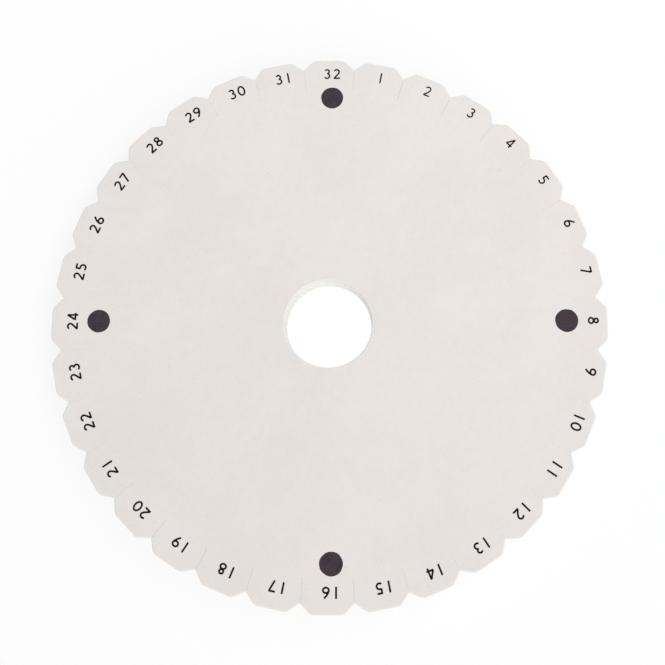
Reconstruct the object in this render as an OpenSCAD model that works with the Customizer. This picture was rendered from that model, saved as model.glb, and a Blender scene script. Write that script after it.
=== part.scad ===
// Round braiding disk: one die-cut foam slab with a centre hole.
// Slots around the rim cut its edge into short tabs that bend at their roots,
// so that a slot opens for a strand of cord and then grips it.
// The disk lies on z = 0, with its hole on the Z axis and the highest-numbered tab towards +Y.

/* [Slab] */
// Width of the disk, from one tab's flat end to the opposite one
disk_width = 150; // [110:1:250]
// Thickness of the foam
thickness = 10; // [6:0.5:16]
// Diameter of the centre hole
hole_diameter = 23.6; // [12:0.2:60]

/* [Rim] */
// Number of tabs, which is also the number of slots
slot_count = 32; // [16:4:48]
// Depth of a slot, from the tabs' flat ends to the inner end of its slit
slot_depth = 8.8; // [7.5:0.1:14]
// Width of the knife slit that is the inner part of a slot
slit_width = 0.3; // [0.2:0.05:0.6]
// Width of a slot's V-shaped mouth at the tabs' flat ends
mouth_width = 6.3; // [3:0.1:8]
// Depth of a slot's V-shaped mouth, down to the start of the slit
mouth_depth = 2.9; // [1.5:0.1:4]
// Rounding where a tab's flat end turns into the mouth
corner_radius = 2.2; // [0.2:0.1:2.5]
// Length of the foam at the root of each tab that bends
root_length = 3; // [1.5:0.1:4]

/* [Printed dots] */
// Diameter of the four dots that mark the quarters
dot_diameter = 6.2; // [3:0.1:8]
// Distance from a tab's flat end to the middle of its dot
dot_inset = 11.9; // [9:0.1:20]
// How far the print sits off centre towards +X
print_shift_x = 0.9; // [-1.5:0.1:1.5]
// How far the print sits off centre towards +Y
print_shift_y = 0.8; // [-1.5:0.1:1.5]
// Thickness of the ink
ink_thickness = 0.05; // [0.02:0.01:0.1]

/* [Hidden] */
$fn = 96;
foam_colour = [0.91, 0.886, 0.875];
ink_colour = [0.26, 0.22, 0.26];
rim_radius = disk_width / 2;
half_pitch = 180 / slot_count;
plate_corner_radius = rim_radius - slot_depth;
plate_radius = plate_corner_radius * cos(half_pitch);
tab_start = plate_radius + root_length;
mouth_start = rim_radius - mouth_depth;
flat_half = rim_radius * tan(half_pitch) - mouth_width / 2;
through = 1;

// Half the width of a tab between its two slits, at distance y from the disk's centre
function half_width(y) = y * tan(half_pitch) - slit_width / 2 / cos(half_pitch);

// Clockwise turn that brings a shape drawn on +Y to the tab of the given number
function turn_of(number) = -number * 360 / slot_count;

function tab_name(number) = str("tab_", number < 10 ? "0" : "", number);

// Plan of one tab from y_in to y_out, bounded by its two slits
module strip_plan(y_in, y_out) {
    polygon([
        [-half_width(y_in), y_in],
        [half_width(y_in), y_in],
        [half_width(y_out), y_out],
        [-half_width(y_out), y_out]
    ]);
}

// Plan of the tab's end: two sloping sides of the mouths and the flat between them,
// with each outer corner cut at its tangent points and rounded by a circle
module tab_end_plan() {
    lip = half_width(mouth_start);
    slope = atan2(mouth_depth, lip - flat_half);
    tangent = corner_radius * tan(slope / 2);
    flat_end = flat_half - tangent;
    polygon([
        [-lip, mouth_start],
        [lip, mouth_start],
        [flat_half + tangent * cos(slope), rim_radius - tangent * sin(slope)],
        [flat_end, rim_radius],
        [-flat_end, rim_radius],
        [-flat_half - tangent * cos(slope), rim_radius - tangent * sin(slope)]
    ]);
    for (side = [-1, 1])
        translate([side * flat_end, rim_radius - corner_radius])
            circle(r = corner_radius);
}

// Undivided middle of the slab, whose corners are the inner ends of the slits
module foam_plate() {
    color(foam_colour)
        difference() {
            linear_extrude(height = thickness)
                polygon([
                    for (number = [1 : slot_count])
                        let (a = 90 + half_pitch + turn_of(number))
                            plate_corner_radius * [cos(a), sin(a)]
                ]);
            translate([0, 0, -through])
                cylinder(d = hole_diameter, h = thickness + 2 * through);
        }
}

// Short strips of foam between the slits that join the tabs to the plate and bend
module tab_roots() {
    color(foam_colour)
        for (number = [1 : slot_count])
            rotate([0, 0, turn_of(number)])
                linear_extrude(height = thickness)
                    strip_plan(plate_radius, tab_start);
}

// One tab, counted clockwise as seen from above
module tab(number) {
    color(foam_colour)
        rotate([0, 0, turn_of(number)])
            linear_extrude(height = thickness) {
                strip_plan(tab_start, mouth_start);
                tab_end_plan();
            }
}

// Ink dots on the top face, inboard of the tabs at the four quarters
module quarter_dots() {
    color(ink_colour)
        translate([print_shift_x, print_shift_y, thickness])
            for (quarter = [0 : 3])
                rotate([0, 0, quarter * 90])
                    translate([0, rim_radius - dot_inset, 0])
                        cylinder(d = dot_diameter, h = ink_thickness);
}

foam_plate();
tab_roots();
quarter_dots();
for (number = [1 : slot_count])
    tab(number);
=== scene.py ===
import math

import bmesh
import bpy
import numpy as np
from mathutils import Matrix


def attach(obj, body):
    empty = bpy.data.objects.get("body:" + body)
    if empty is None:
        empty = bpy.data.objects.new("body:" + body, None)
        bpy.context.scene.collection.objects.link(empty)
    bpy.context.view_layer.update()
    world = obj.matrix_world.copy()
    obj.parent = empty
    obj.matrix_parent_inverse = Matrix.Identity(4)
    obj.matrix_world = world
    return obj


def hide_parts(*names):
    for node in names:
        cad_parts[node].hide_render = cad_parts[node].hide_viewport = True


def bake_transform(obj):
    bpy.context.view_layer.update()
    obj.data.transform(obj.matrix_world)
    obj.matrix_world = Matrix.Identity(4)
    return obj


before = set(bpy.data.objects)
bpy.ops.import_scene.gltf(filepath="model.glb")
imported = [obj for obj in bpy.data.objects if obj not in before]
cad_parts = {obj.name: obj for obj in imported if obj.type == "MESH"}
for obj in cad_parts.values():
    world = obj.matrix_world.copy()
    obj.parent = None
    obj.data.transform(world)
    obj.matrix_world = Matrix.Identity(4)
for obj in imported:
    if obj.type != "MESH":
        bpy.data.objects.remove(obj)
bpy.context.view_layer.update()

# Sizes in millimetres, the same values as in the part's source
MM = 0.001
TABS = 32
HALF_PITCH = math.pi / TABS
RIM = 75.0
THICK = 10.0
HOLE_RADIUS = 11.8
SLOT_DEPTH = 8.8
PLATE = (RIM - SLOT_DEPTH) * math.cos(HALF_PITCH)
MOUTH_WIDTH = 6.3
MOUTH_DEPTH = 2.9
FLAT_HALF = RIM * math.tan(HALF_PITCH) - MOUTH_WIDTH / 2
CORNER = 2.2
DOT_INSET = 11.9
DOT_RING = RIM - DOT_INSET
DOT_RADIUS = 3.1
PRINT_SHIFT = np.array([0.9, 0.8])

# Finer sizes of the cut edges, and the direction in which the slits gape
SLIT_CLOSED = 0.007
SLIT_GAPE = 0.022
GAPE_ANGLE = math.radians(20)
LIP_ROUND = 0.6
RIM_EDGE = 0.38
EDGE_LAND = 0.06

# How far the press left a tab's end shifted, askew and short, and how fast each goes from tab to tab
END_LEAN = 0.16
END_SKEW = 0.10
END_SHORT = 0.12
LEAN_PACE = 2.4
SKEW_PACE = 1.7
SHORT_PACE = 3.1

# The stretch of each tab's root that bends
BEND_START = 66.9
BEND_END = 69.4

# The print: height of the ink, size and place of the numbers, and where their strokes are thinner
INK = 0.04
LAYER_STEP = 0.004
DIGIT_RING = 70.2
DIGIT_HEIGHT = 2.95
DIGIT_STEP = 2.63
DIGIT_STROKE = 0.515
STROKE_THINNING = 0.2
THIN_ANGLE = math.radians(25)

# Section of an ink stroke, as shares of its width and of the ink's height
INK_SECTION = np.array([[-0.5, -0.02], [-0.46, 0.7], [-0.3, 1], [0.3, 1], [0.46, 0.7], [0.5, -0.02]])

# Points across a tab, along the parts of its side, round a cut edge, along the plate and round a dot
ACROSS = 13
ROOT_POINTS = 4
BEND_POINTS = 11
SLIT_POINTS = 5
LIP_STEPS = 4
MOUTH_POINTS = 5
CORNER_STEPS = 7
EDGE_POINTS = 6
PLATE_SIDE_STEPS = 6
DOT_POINTS = 64

# Steps in a millimetre to which points at the same place agree, and the angle of a sharp edge
WELD_STEPS = 1e5
SHARP_ANGLE = math.radians(38)


def linear(red, green, blue):
    """A screen colour of 0 to 255 as the linear colour that a shader socket takes."""
    c = np.array([red, green, blue]) / 255
    c = np.where(c <= 0.04045, c / 12.92, ((c + 0.055) / 1.055) ** 2.4)
    return (*c.tolist(), 1.0)


# Mesh building

def quads_of(rows, columns, wrap_rows=False, wrap_columns=False):
    """Corner numbers of the four-sided faces of a grid, joined end to start where it wraps."""
    i = np.arange(rows if wrap_rows else rows - 1)[:, None]
    j = np.arange(columns if wrap_columns else columns - 1)[None, :]
    up, on = (i + 1) % rows, (j + 1) % columns
    corners = [i * columns + j, up * columns + j, up * columns + on, i * columns + on]
    return np.stack(np.broadcast_arrays(*corners), axis=-1).reshape(-1, 4)


def joined(patches, loop=None):
    """Grids of points (rows, columns, 3) put together, with points at the same place made one.

    Each patch is (points, masks, wrap rows, wrap columns); masks are the cut and edge values.
    A loop is a ring of the same points that is closed with one flat face.
    """
    points, masks, faces, count = [], [], [], 0
    for place, mask, wrap_rows, wrap_columns in patches:
        rows, columns = place.shape[:2]
        points.append(place.reshape(-1, 3))
        masks.append(np.broadcast_to(mask, (rows, columns, 2)).reshape(-1, 2))
        faces.append(quads_of(rows, columns, wrap_rows, wrap_columns) + count)
        count += rows * columns
    if loop is not None:
        points.append(loop)
        masks.append(np.zeros((len(loop), 2)))
    points, masks, faces = map(np.concatenate, (points, masks, faces))
    keys = np.round(points * WELD_STEPS).astype(np.int64)
    _, first, place = np.unique(keys, axis=0, return_index=True, return_inverse=True)
    place = place.ravel()
    faces = place[faces].tolist()
    if loop is not None:
        faces.append(place[count:].tolist())
    return points[first], masks[first], faces


def add_object(name, data):
    """An object made of the data and put into the scene."""
    thing = bpy.data.objects.new(name, data)
    bpy.context.scene.collection.objects.link(thing)
    return thing


def new_piece(name, points, faces, material, masks=None):
    """A mesh object at the origin with its faces outwards, from points in millimetres."""
    mesh = bpy.data.meshes.new(name)
    mesh.from_pydata((points * MM).tolist(), [], faces)
    work = bmesh.new()
    work.from_mesh(mesh)
    bmesh.ops.recalc_face_normals(work, faces=work.faces)
    work.to_mesh(mesh)
    work.free()
    mesh.shade_smooth()
    mesh.set_sharp_from_angle(angle=SHARP_ANGLE)
    rest = mesh.attributes.new("rest_place", "FLOAT_VECTOR", "POINT")
    rest.data.foreach_set("vector", (points * MM).astype(np.float32).ravel())
    if masks is not None:
        # cut_edge marks the rounded edges for a painted highlight; cut_wall marks the walls, drawn
        # paler partly by painted light
        for column, word in enumerate(("cut_wall", "cut_edge")):
            mask = mesh.attributes.new(word, "FLOAT", "POINT")
            mask.data.foreach_set("value", masks[:, column].astype(np.float32))
    mesh.materials.append(material)
    piece = add_object(name, mesh)
    return piece


def radial(number):
    """Unit vectors of tab number: outwards along its middle, and clockwise across it."""
    a = number * 2 * HALF_PITCH
    return np.array([math.sin(a), math.cos(a)]), np.array([math.cos(a), -math.sin(a)])


def to_tab(points, number):
    """Points drawn for a tab on +Y, turned clockwise to the tab of that number."""
    out, across = radial(number)
    plan = points[..., :1] * across + points[..., 1:2] * out
    return np.concatenate([plan, points[..., 2:]], axis=-1)


# Foam

def rounded_corner(before, corner, after, radius, steps):
    """Points of the arc that touches both sides of a corner.

    It starts at corner minus radius times tan(half the turn) along the first side, and each
    point is the arc's centre minus radius cos(t) across plus radius sin(t) along that side.
    """
    before, corner, after = map(np.asarray, (before, corner, after))
    along = (corner - before) / np.linalg.norm(corner - before)
    ahead = (after - corner) / np.linalg.norm(after - corner)
    across = np.array([-along[1], along[0]])
    turn = math.atan2(ahead @ across, ahead @ along)
    start = corner - along * radius * math.tan(turn / 2)
    t = np.linspace(0, turn, steps + 1)[:, None]
    return start + across * radius * (1 - np.cos(t)) + along * radius * np.sin(t)


def slit_width(number):
    """Width of the slit clockwise of a tab: a least width, and more where the slits gape.

    The addition goes with the fourth power of the cosine of the angle from the gaping line.
    """
    angle = (2 * number + 1) * HALF_PITCH - GAPE_ANGLE
    return SLIT_CLOSED + SLIT_GAPE * math.cos(angle) ** 4


def tab_side(width):
    """Right-hand side of a tab in plan, from its root to its flat end, and each point's edge radius.

    The slit wall is x = y tan(half pitch) less half the slit's width, then come the lip's arc,
    the straight side of the mouth and the arc into the flat end. The edges of a slit are
    rounded by as much as it is wide.
    """
    slope = math.tan(HALF_PITCH)
    half_slit = width / 2 / math.cos(HALF_PITCH)
    mouth = RIM - MOUTH_DEPTH
    root = (PLATE * slope - half_slit, PLATE)
    lip = (mouth * slope - half_slit, mouth)
    end = (FLAT_HALF, RIM)
    lip_arc = rounded_corner(root, lip, end, LIP_ROUND, LIP_STEPS)
    end_arc = rounded_corner(lip, end, (0, RIM), CORNER, CORNER_STEPS)
    y = np.concatenate([
        np.linspace(PLATE, BEND_START, ROOT_POINTS)[:-1],
        np.linspace(BEND_START, BEND_END, BEND_POINTS)[:-1],
        np.linspace(BEND_END, lip_arc[0, 1], SLIT_POINTS)[:-1],
    ])
    slit = np.stack([y * slope - half_slit, y], axis=1)
    mouth_side = np.linspace(lip_arc[-1], end_arc[0], MOUTH_POINTS)[1:-1]
    side = np.concatenate([slit, lip_arc, mouth_side, end_arc])
    lip_edge = np.linspace(width, RIM_EDGE, len(lip_arc))
    rim_edge = np.full(len(side) - len(y) - len(lip_arc), RIM_EDGE)
    return side, np.concatenate([np.full(len(y), width), lip_edge, rim_edge])


def unevenly_cut(plan, number):
    """A tab's outline with its end shifted, askew and short by sines of the tab's number.

    A point moves by a share that eases from 0 at the lips to 1 at the flat end, sideways and
    inwards but never outwards. The tabs at the four quarters are regular, so that the disk has
    its full width.
    """
    share = np.clip((plan[:, 1:] - RIM + MOUTH_DEPTH) / MOUTH_DEPTH, 0, 1)
    share = share**2 * (3 - 2 * share) * abs(math.sin(4 * number * HALF_PITCH))
    lean = END_LEAN * math.sin(LEAN_PACE * number)
    skew = END_SKEW * math.sin(SKEW_PACE * number + 1)
    short = END_SHORT * (1 + math.sin(SHORT_PACE * number + 2)) / 2
    drop = short + abs(skew) - skew * plan[:, :1] / FLAT_HALF
    return plan + share * np.hstack([np.full_like(drop, lean), -drop])


def edge_profile(radius):
    """Section of a cut wall with both edges rounded: inset, height and masks at each level.

    From a land of even width on the top face, a quarter circle of the given radius runs into
    the wall: inset = r (1 - sin t) and drop = r (1 - cos t). The lower half mirrors the upper.
    """
    radius = np.asarray(radius, float)[:, None]
    none = 0 * radius
    t = np.linspace(0, math.pi / 2, EDGE_POINTS)
    inset = np.hstack([none + RIM_EDGE + EDGE_LAND, radius * (1 - np.sin(t)), none])
    drop = np.hstack([none, radius * (1 - np.cos(t)), radius + EDGE_LAND])
    # The cut mask carries the walls' paler colour, which is partly painted light
    cut = np.concatenate([[0], np.sin(t) ** 2, [1]]) + none
    # The edge mask marks the rounded edges, which get a painted highlight
    edge = np.concatenate([[0], np.ones(len(t)), [0.5]]) * radius / RIM_EDGE
    inset = np.hstack([inset, none, inset[:, ::-1]])
    height = np.hstack([THICK - drop, none + THICK / 2, drop[:, ::-1]])
    cut = np.hstack([cut, none + 1, cut[:, ::-1]])
    edge = np.hstack([edge, none, edge[:, ::-1]])
    return inset, height, np.stack([cut, edge], axis=2)


def tab_skin(number):
    """Patches of a whole tab on +Y, its cut wall and its two faces, and the ring of its root end.

    The wall carries the edge section along the right side, the flat end and the left side. The
    faces are ladders: a rung is right + t (left - right), and the last one follows the flat end.
    """
    right, right_edge = tab_side(slit_width(number))
    left, left_edge = tab_side(slit_width(number - 1))
    left = left * [-1, 1]
    flat = np.linspace(right[-1], left[-1], ACROSS)[1:-1]
    path = unevenly_cut(np.concatenate([right, flat, left[::-1]]), number)
    radius = np.concatenate([right_edge, np.full(len(flat), RIM_EDGE), left_edge[::-1]])
    step = np.diff(path, axis=0)
    step /= np.linalg.norm(step, axis=1)[:, None]
    along = np.concatenate([step[:1], step[:-1] + step[1:], step[-1:]])
    along /= np.linalg.norm(along, axis=1)[:, None]
    outward = np.stack([along[:, 1], -along[:, 0]], axis=1)
    inset, height, masks = edge_profile(radius)
    plan = path[:, None, :] - outward[:, None, :] * inset[:, :, None]
    plan[[0, -1], :, 1] = PLATE
    wall = np.concatenate([plan, height[:, :, None]], axis=2)
    rungs = len(right)
    t = np.linspace(0, 1, ACROSS)[:, None]
    start, stop = wall[:rungs, None, [0, -1]], wall[::-1][:rungs, None, [0, -1]]
    ladders = start + (stop - start) * t[:, :, None]
    ladders[-1] = wall[rungs - 1:rungs - 1 + ACROSS, [0, -1]]
    top, under = ladders[:, :, 0], ladders[:, :, 1]
    root = np.concatenate([top[0], wall[-1, 1:], under[0, -2::-1], wall[0, -2:0:-1]])
    bare = np.zeros(2)
    return [(wall, masks, False, False), (top, bare, False, False), (under, bare, False, False)], root


def plate_skin():
    """The undivided middle as one closed ring: a section carried round the hole.

    Radius = base + share (chord - base), where the chord is plate / cos(angle from the middle
    of the nearest tab), so that the outer wall has straight sides that meet the tabs' roots.
    """
    steps = TABS * PLATE_SIDE_STEPS
    angle = np.arange(steps) * 2 * math.pi / steps
    chord = PLATE / np.cos((angle + HALF_PITCH) % (2 * HALF_PITCH) - HALF_PITCH)
    inset, height, masks = edge_profile([RIM_EDGE])
    out = np.array([0.04, 0.12, 0.3, 0.55, 0.8, 1.0])
    base = np.concatenate([HOLE_RADIUS + inset[0], np.full(2 * len(out), HOLE_RADIUS + inset[0, 0])])
    share = np.concatenate([np.zeros(inset.shape[1]), out, out[::-1]])
    z = np.concatenate([height[0], np.zeros(len(out)), np.full(len(out), THICK)])
    mask = np.concatenate([masks[0], np.zeros((2 * len(out), 2))])
    radius = base + share * (chord[:, None] - base)
    x, y = radius * np.sin(angle)[:, None], radius * np.cos(angle)[:, None]
    return [(np.stack([x, y, np.broadcast_to(z, x.shape)], axis=2), mask[None], True, True)]


# Print

def arc(x, y, wide, high, start, stop, points=22):
    """Points of an ellipse's arc, from one angle to the other in degrees."""
    t = np.radians(np.linspace(start, stop, points))
    return np.stack([x + wide * np.cos(t), y + high * np.sin(t)], axis=1)


def line(x, y, to_x, to_y, points=5):
    """Points of a straight stroke."""
    return np.linspace((x, y), (to_x, to_y), points)


def curve(a, b, c, points=16):
    """Points of a parabola from a to c that heads for b: (1-t)^2 a + 2t(1-t) b + t^2 c."""
    t = np.linspace(0, 1, points)[:, None]
    return (1 - t) ** 2 * np.array(a) + 2 * t * (1 - t) * np.array(b) + t**2 * np.array(c)


# Middle lines of each digit's strokes, one unit high on a baseline at 0; True marks a closed loop
SIX = [
    (arc(0.0, 0.295, 0.255, 0.225, 90, 432, 34), True),
    (curve((-0.245, 0.35), (-0.20, 0.64), (0.16, 0.975)), False),
]
DIGITS = {
    "0": [(arc(0, 0.5, 0.285, 0.43, 90, 439, 36), True)],
    "1": [(line(0, 0, 0, 1), False)],
    "2": [
        (np.concatenate([arc(-0.02, 0.705, 0.235, 0.225, 158, -28, 18),
                         curve((0.13, 0.50), (0.02, 0.36), (-0.245, 0.10))]), False),
        (line(-0.30, 0.07, 0.30, 0.07), False),
    ],
    "3": [
        (arc(-0.05, 0.735, 0.205, 0.195, 150, -80), False),
        (arc(-0.06, 0.305, 0.255, 0.235, 88, -148), False),
    ],
    "4": [
        (line(0.12, 0.97, -0.29, 0.295), False),
        (line(-0.345, 0.265, 0.31, 0.265), False),
        (line(0.13, 0, 0.13, 1), False),
    ],
    "5": [
        (line(-0.19, 0.93, 0.24, 0.93), False),
        (line(-0.17, 0.99, -0.19, 0.53), False),
        (arc(-0.05, 0.32, 0.255, 0.25, 118, -140), False),
    ],
    "6": SIX,
    "7": [
        (line(-0.29, 0.93, 0.30, 0.93), False),
        (line(0.245, 0.90, -0.10, 0), False),
    ],
    "8": [
        (arc(0, 0.745, 0.19, 0.18, 90, 437, 30), True),
        (arc(0, 0.29, 0.25, 0.215, 90, 438, 34), True),
    ],
    "9": [([0, 1] - path, closed) for path, closed in SIX],
}


def stroke(path, closed, width, sunk):
    """An ink stroke: a low rounded section, widest at the foam, carried along a middle line.

    It is lower than the ink's height by as much as it is sunk.
    """
    ahead, behind = np.roll(path, -1, axis=0) - path, path - np.roll(path, 1, axis=0)
    if not closed:
        ahead[-1], behind[0] = behind[-1], ahead[0]
    ahead /= np.linalg.norm(ahead, axis=1)[:, None]
    behind /= np.linalg.norm(behind, axis=1)[:, None]
    along = ahead + behind
    along /= np.linalg.norm(along, axis=1)[:, None]
    across = np.stack([along[:, 1], -along[:, 0]], axis=1)
    plan = path[:, None, :] + across[:, None, :] * (INK_SECTION[:, :1] * width)
    height = np.broadcast_to(THICK + INK_SECTION[:, 1] * (INK - sunk), plan.shape[:2])
    points = np.concatenate([plan, height[:, :, None]], axis=2)
    rows, columns = points.shape[:2]
    faces = quads_of(rows, columns, closed, True).tolist()
    if not closed:
        faces += [list(range(columns)), list(range((rows - 1) * columns, rows * columns))]
    return points.reshape(-1, 3), faces


def number_mesh(number):
    """The strokes of a tab's number, centred on the tab with the tops of its digits outwards.

    The print is lighter in one direction: a stroke is thinner there by a share that goes with
    the eighth power of half of one plus the cosine of the angle from it. Each further stroke
    of a digit lies one step lower, so that strokes that cross don't share a surface.
    """
    points, faces, count = [], [], 0
    near = (1 + math.cos(2 * number * HALF_PITCH - THIN_ANGLE)) / 2
    width = DIGIT_STROKE * (1 - STROKE_THINNING * near**8)
    text = str(number)
    for place, digit in enumerate(text):
        shift = (place - (len(text) - 1) / 2) * DIGIT_STEP
        for layer, (path, closed) in enumerate(DIGITS[digit]):
            path = (np.asarray(path) - [0, 0.5]) * DIGIT_HEIGHT + [shift, DIGIT_RING]
            ink, sides = stroke(path, closed, width, LAYER_STEP * layer)
            points.append(ink)
            faces += [[corner + count for corner in side] for side in sides]
            count += len(ink)
    points = to_tab(np.concatenate(points), number)
    points[:, :2] += PRINT_SHIFT
    return points, faces


def dots_mesh():
    """Four ink dots, low lenses whose outline wavers a little: r (1 + sum of small sines)."""
    t = np.arange(DOT_POINTS) * 2 * math.pi / DOT_POINTS
    share = np.array([0.5, 0.8, 0.94, 0.985, 1.0, 0.5])
    lift = np.array([1.0, 1.0, 0.92, 0.7, -0.1, -0.1]) * INK
    points, faces, count = [], [], 0
    for quarter in range(4):
        waver = 1 + 0.008 * np.sin(3 * t + quarter) + 0.006 * np.sin(7 * t + 2.1 * quarter)
        radius = DOT_RADIUS * share[:, None] * waver
        z = np.broadcast_to(THICK + lift[:, None], radius.shape)
        dot = np.stack([radius * np.cos(t), DOT_RING + radius * np.sin(t), z], axis=2)
        points.append(to_tab(dot, quarter * TABS // 4).reshape(-1, 3))
        faces += (quads_of(len(share), DOT_POINTS, False, True) + count).tolist()
        rings = np.arange(count, count + radius.size).reshape(radius.shape)
        faces += rings[[0, -1]].tolist()
        count += radius.size
    points = np.concatenate(points)
    points[:, :2] += PRINT_SHIFT
    return points, faces


# Materials

# Colours of the foam's face, its cut walls with their partly painted light, the painted edge highlight
# and pinhole shade, the inks and the floor
FACE_DULL = linear(231, 225, 221)
FACE_PALE = linear(236, 230, 227)
# Cut walls: paler than the face, partly the open cells' own colour and partly painted light that makes
# up for the walls' shade
CUT_PALE_PAINTED_LIGHT = linear(246, 244, 240)
CUT_DULL_PAINTED_LIGHT = linear(236, 233, 228)
BLADE_LINE = linear(234, 231, 226)
# Painted highlight: the rounded edges are drawn paler than the face to make up for their shade
EDGE_PAINTED_LIGHT = linear(237, 233, 229)
# Painted shade: pinholes in the foam face are drawn darker, as the shade inside them
PINHOLE_PAINTED_SHADE = linear(225, 219, 214)
INK_PINHOLE = linear(105, 95, 99)
DOT_DEEP = linear(44, 32, 41)
DOT_THINNED = linear(64, 52, 60)
NUMBER_DEEP = linear(14, 8, 10)
NUMBER_THINNED = linear(26, 17, 20)
FLOOR_SEEN = linear(253, 253, 253)
FLOOR_LIT = linear(229, 229, 229)
WHITE = (1, 1, 1, 1)

# Grain of the textures per metre, how rare the pinholes are, and how the blade's lines stand upright
SLOW_GRAIN = 55.0
PATCH_GRAIN = 420.0
PINHOLE_GRAIN = 420.0
CELL_GRAIN = 1500.0
BLADE_GRAIN = 900.0
FOAM_PEBBLES = 1900.0
INK_PEBBLES = 2200.0
PINHOLE_RARITY = 0.8
BLADE_STRETCH = (1, 1, 0.03)


def new_node(tree, kind, inputs=(), **settings):
    """A node with its settings and its inputs, each by name or number and set or linked."""
    node = tree.nodes.new(kind)
    for name, value in settings.items():
        setattr(node, name, value)
    for key, value in dict(inputs).items():
        if isinstance(value, bpy.types.NodeSocket):
            tree.links.new(value, node.inputs[key])
        else:
            node.inputs[key].default_value = value
    return node


def figured(tree, operation, *values):
    """A sum on values or other nodes' outputs."""
    return new_node(tree, "ShaderNodeMath", enumerate(values), operation=operation).outputs[0]


def eased(tree, value, low, high, to_low=0.0, to_high=1.0):
    """A value between low and high carried smoothly to another range."""
    ends = enumerate((value, low, high, to_low, to_high))
    return new_node(tree, "ShaderNodeMapRange", ends, interpolation_type="SMOOTHSTEP").outputs[0]


def mixed(tree, factor, first, second):
    """A colour from first to second, each a fixed colour or another node's output."""
    inputs = {0: factor, 6: first, 7: second}
    return new_node(tree, "ShaderNodeMix", inputs, data_type="RGBA").outputs[2]


def noise(tree, place, grain, detail):
    """A soft cloudy value at a place, with its grain per metre."""
    inputs = {"Vector": place, "Scale": grain, "Detail": detail}
    return new_node(tree, "ShaderNodeTexNoise", inputs).outputs[0]


def bumped(tree, height, strength, depth):
    """The direction of a surface that rises and falls with a height, by a depth in metres."""
    inputs = {"Strength": strength, "Distance": depth, "Height": height}
    return new_node(tree, "ShaderNodeBump", inputs).outputs[0]


def mask_of(tree, name):
    """A value that the mesh carries at its points."""
    return new_node(tree, "ShaderNodeAttribute", attribute_name=name).outputs["Fac"]


def rest_place(tree):
    """Where a point lies on the flat disk, which stays with the foam when a tab bends."""
    return new_node(tree, "ShaderNodeAttribute", attribute_name="rest_place").outputs["Vector"]


def relief_group():
    """Foam skin at three scales: slow unevenness, small pebbles, and scattered pinholes.

    Outputs are a tone for colour, a relief for bumps and a mask of the pinholes.
    """
    tree = bpy.data.node_groups.new("foam_relief", "ShaderNodeTree")
    for name in ("Tone", "Relief", "Pinholes"):
        tree.interface.new_socket(name, in_out="OUTPUT", socket_type="NodeSocketFloat")
    for name in ("Pebbles per Metre", "Pebble Height"):
        tree.interface.new_socket(name, in_out="INPUT", socket_type="NodeSocketFloat")
    given = tree.nodes.new("NodeGroupInput").outputs
    place = rest_place(tree)
    slow = noise(tree, place, SLOW_GRAIN, 4.0)
    patch = noise(tree, place, PATCH_GRAIN, 2.0)
    pebble = noise(tree, place, given["Pebbles per Metre"], 0.0)
    pores = new_node(tree, "ShaderNodeTexVoronoi", {"Vector": place, "Scale": PINHOLE_GRAIN}).outputs
    chance = new_node(tree, "ShaderNodeSeparateColor", {0: pores["Color"]}).outputs[0]
    few = figured(tree, "GREATER_THAN", chance, PINHOLE_RARITY)
    pinhole = figured(tree, "MULTIPLY", eased(tree, pores["Distance"], 0.10, 0.04), few)
    tone = figured(tree, "MULTIPLY_ADD", patch, 0.35, figured(tree, "MULTIPLY", slow, 0.65))
    bumps = figured(tree, "MULTIPLY_ADD", pebble, given["Pebble Height"], patch)
    relief = figured(tree, "SUBTRACT", bumps, pinhole)
    new_node(tree, "NodeGroupOutput", {0: tone, 1: relief, 2: pinhole})
    return tree


RELIEF = relief_group()


def new_material(name, specular):
    """A material with a Principled shader, and its node tree."""
    material = bpy.data.materials.new(name)
    material.use_nodes = True
    tree = material.node_tree
    shader = tree.nodes["Principled BSDF"].inputs
    shader["Specular IOR Level"].default_value = specular
    return material, tree, shader


def relief_of(tree, pebbles, height):
    """The foam skin's relief, with its own number and height of pebbles."""
    sizes = {"Pebbles per Metre": pebbles, "Pebble Height": height}
    return new_node(tree, "ShaderNodeGroup", sizes, node_tree=RELIEF).outputs


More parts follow.
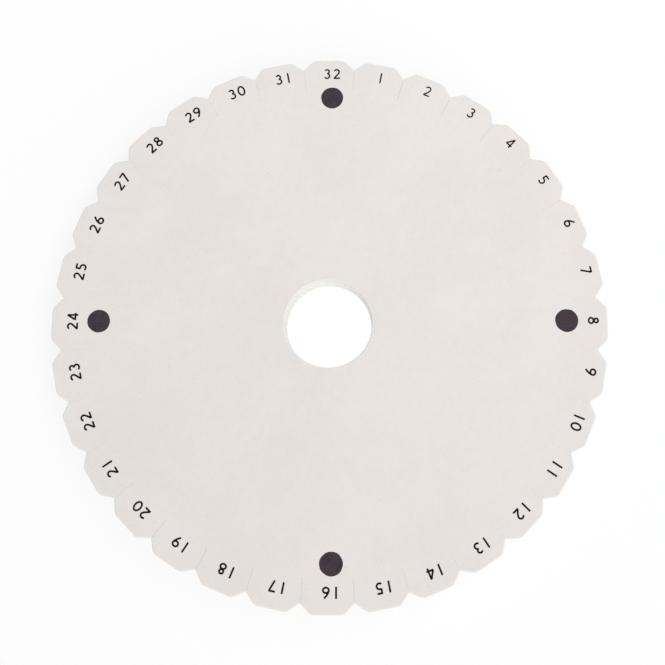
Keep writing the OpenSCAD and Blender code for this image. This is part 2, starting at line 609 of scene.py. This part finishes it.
def foam_material():
    """Off-white closed-cell foam: mottled pebbled skin with pinholes darkened by painted shade, and
    paler walls where it is cut, partly the cut's own colour and partly painted light.

    A cut wall has small open cells and fine upright lines drawn by the blade. The rounded edges carry a
    painted highlight.
    """
    material, tree, shader = new_material("closed_cell_foam", specular=0.25)
    skin = relief_of(tree, FOAM_PEBBLES, 0.65)
    wall, edge, place = mask_of(tree, "cut_wall"), mask_of(tree, "cut_edge"), rest_place(tree)
    cells = new_node(tree, "ShaderNodeTexVoronoi", {"Vector": place, "Scale": CELL_GRAIN}).outputs[0]
    stretch = {0: place, 1: BLADE_STRETCH}
    upright = new_node(tree, "ShaderNodeVectorMath", stretch, operation="MULTIPLY").outputs[0]
    drawn = noise(tree, upright, BLADE_GRAIN, 1.0)
    face = mixed(tree, eased(tree, skin["Tone"], 0.30, 0.70), FACE_DULL, FACE_PALE)
    cut = mixed(tree, cells, CUT_PALE_PAINTED_LIGHT, CUT_DULL_PAINTED_LIGHT)
    cut = mixed(tree, eased(tree, drawn, 0.5, 0.9), cut, BLADE_LINE)
    # Walls drawn paler than the face, partly by painted light
    colour = mixed(tree, wall, face, cut)
    # Painted highlight on the rounded edges
    colour = mixed(tree, edge, colour, EDGE_PAINTED_LIGHT)
    # Pinholes darkened by painted shade
    colour = mixed(tree, skin["Pinholes"], colour, PINHOLE_PAINTED_SHADE)
    tree.links.new(colour, shader["Base Color"])
    tree.links.new(eased(tree, skin["Relief"], 0.2, 1.0, 0.7, 0.9), shader["Roughness"])
    torn = figured(tree, "MULTIPLY", figured(tree, "MULTIPLY_ADD", drawn, 0.4, cells), wall)
    height = figured(tree, "ADD", skin["Relief"], torn)
    tree.links.new(bumped(tree, height, 0.45, 0.00015), shader["Normal"])
    return material


def ink_material(name, deep, thinned, specular):
    """Matt printing ink that lies thinner, and so paler, over the foam's pebbles."""
    material, tree, shader = new_material(name, specular)
    skin = relief_of(tree, INK_PEBBLES, 0.8)
    colour = mixed(tree, eased(tree, skin["Relief"], 0.45, 1.15), deep, thinned)
    colour = mixed(tree, skin["Pinholes"], colour, INK_PINHOLE)
    tree.links.new(colour, shader["Base Color"])
    tree.links.new(eased(tree, skin["Tone"], 0.3, 0.7, 0.5, 0.65), shader["Roughness"])
    tree.links.new(bumped(tree, skin["Relief"], 0.3, 0.0001), shader["Normal"])
    return material


# The disk

foam = foam_material()
dot_ink = ink_material("dot_ink", DOT_DEEP, DOT_THINNED, specular=0.2)
number_ink = ink_material("number_ink", NUMBER_DEEP, NUMBER_THINNED, specular=0.06)

points, masks, faces = joined(plate_skin())
plate = new_piece("foam_plate_skin", points, faces, foam, masks)
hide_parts("foam_plate", "tab_roots")
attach(plate, "slab")

points, faces = dots_mesh()
dots = new_piece("quarter_dots_ink", points, faces, dot_ink)
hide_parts("quarter_dots")
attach(dots, "slab")

for number in range(1, TABS + 1):
    body = f"tab_{number:02d}"
    points, masks, faces = joined(*tab_skin(number))
    skin = new_piece(f"{body}_skin", to_tab(points, number), faces, foam, masks)
    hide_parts(body)
    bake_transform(skin)
    points, faces = number_mesh(number)
    digits = new_piece(f"number_{number:02d}", points, faces, number_ink)
    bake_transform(digits)


# Studio

# The floor in metres, where its shadow ring fades in and out, and its light under the hole
FLOOR_REACH = 3.0
FLOOR_LEVEL = -0.1 * MM
SHADOW_START = (0.012, 0.06)
SHADOW_END = (0.24, 0.085)
SHADOW_SHARE = 0.22
HOLE_LIGHT_EDGE = (0.0116, 0.011)
HOLE_LIGHT = 0.95

# Strength of the surround, and each lamp's place and strength
SURROUND = 0.52
KEY_PLACE = (0.28, -0.7, 0.65)
KEY_STRENGTH = 1.3
SIDE_PLACE = (0.35, 0.3, 0.55)
SIDE_STRENGTH = 1.4

# The photograph's camera, fitted to the rim, the hole and the print
CAMERA_PLACE = (0.00763, -0.02848, 0.24907)
CAMERA_TURN = (0.16749, 0.01857, 0.00094)
CAMERA_SENSOR = 36.0
CAMERA_LENS = 48.34
CAMERA_SHIFT = (-0.0113, -0.0789)


def seen_directly(tree):
    """1 for what the camera sees straight, in a mirror or through glass, and 0 for light on its way."""
    path = tree.nodes.new("ShaderNodeLightPath").outputs
    seen = figured(tree, "MAXIMUM", path["Is Camera Ray"], path["Is Glossy Ray"])
    return figured(tree, "MAXIMUM", seen, path["Is Transmission Ray"])


def floor_material():
    """White floor that takes the disk's shadow in a ring round it and is plain white elsewhere.

    To bounced light it is a duller white, so that it doesn't wash out the disk's side. Under
    the hole it glows for bounced light as well, and so lights the wall of the hole.
    """
    material, tree, shader = new_material("studio_floor", specular=0.1)
    shader["Roughness"].default_value = 0.9
    seen = seen_directly(tree)
    tree.links.new(mixed(tree, seen, FLOOR_LIT, FLOOR_SEEN), shader["Base Color"])
    place = tree.nodes.new("ShaderNodeTexCoord").outputs["Object"]
    reach = new_node(tree, "ShaderNodeVectorMath", {0: place}, operation="LENGTH").outputs["Value"]
    ring = figured(tree, "MULTIPLY", eased(tree, reach, *SHADOW_START), eased(tree, reach, *SHADOW_END))
    shown = figured(tree, "MULTIPLY", seen, figured(tree, "MULTIPLY_ADD", ring, -SHADOW_SHARE, 1.0))
    under_hole = eased(tree, reach, *HOLE_LIGHT_EDGE, 0.0, HOLE_LIGHT)
    share = figured(tree, "MAXIMUM", shown, under_hole)
    glow = new_node(tree, "ShaderNodeEmission", {"Strength": 1.0}).outputs[0]
    paint = tree.nodes["Principled BSDF"].outputs[0]
    surface = new_node(tree, "ShaderNodeMixShader", {0: share, 1: paint, 2: glow}).outputs[0]
    tree.links.new(surface, tree.nodes["Material Output"].inputs["Surface"])
    return material


def add_lamp(name, kind, place, strength, **settings):
    """A lamp at a place, turned to the disk."""
    lamp = add_object(name, bpy.data.lights.new(name, kind))
    lamp.data.energy = strength
    for word, value in settings.items():
        setattr(lamp.data, word, value)
    lamp.location = place
    lamp.rotation_euler = (-lamp.location).to_track_quat("-Z", "Y").to_euler()


def studio():
    """Floor under the disk, an even white surround, two soft lamps and the photograph's camera."""
    mesh = bpy.data.meshes.new("studio_floor")
    signs = ((-1, -1), (1, -1), (1, 1), (-1, 1))
    corners = [(x * FLOOR_REACH, y * FLOOR_REACH, FLOOR_LEVEL) for x, y in signs]
    mesh.from_pydata(corners, [], [(0, 1, 2, 3)])
    mesh.materials.append(floor_material())
    add_object("studio_floor", mesh)

    world = bpy.data.worlds.new("studio_surround")
    world.use_nodes = True
    tree = world.node_tree
    lit = tree.nodes["Background"]
    lit.inputs["Color"].default_value = WHITE
    lit.inputs["Strength"].default_value = SURROUND
    white = new_node(tree, "ShaderNodeBackground", {"Color": WHITE, "Strength": 1.0}).outputs[0]
    choice = {0: seen_directly(tree), 1: lit.outputs[0], 2: white}
    both = new_node(tree, "ShaderNodeMixShader", choice).outputs[0]
    tree.links.new(both, tree.nodes["World Output"].inputs["Surface"])
    bpy.context.scene.world = world

    add_lamp("key_lamp", "SUN", KEY_PLACE, KEY_STRENGTH, angle=1.2)
    add_lamp("side_lamp", "AREA", SIDE_PLACE, SIDE_STRENGTH, shape="DISK", size=0.5)

    camera = add_object("photo_camera", bpy.data.cameras.new("photo_camera"))
    camera.data.sensor_width = CAMERA_SENSOR
    camera.data.lens = CAMERA_LENS
    camera.data.shift_x, camera.data.shift_y = CAMERA_SHIFT
    camera.data.clip_start, camera.data.clip_end = 0.01, 20.0
    camera.location = CAMERA_PLACE
    camera.rotation_euler = CAMERA_TURN
    bpy.context.scene.camera = camera
    bpy.context.scene.view_settings.view_transform = "Standard"


studio()
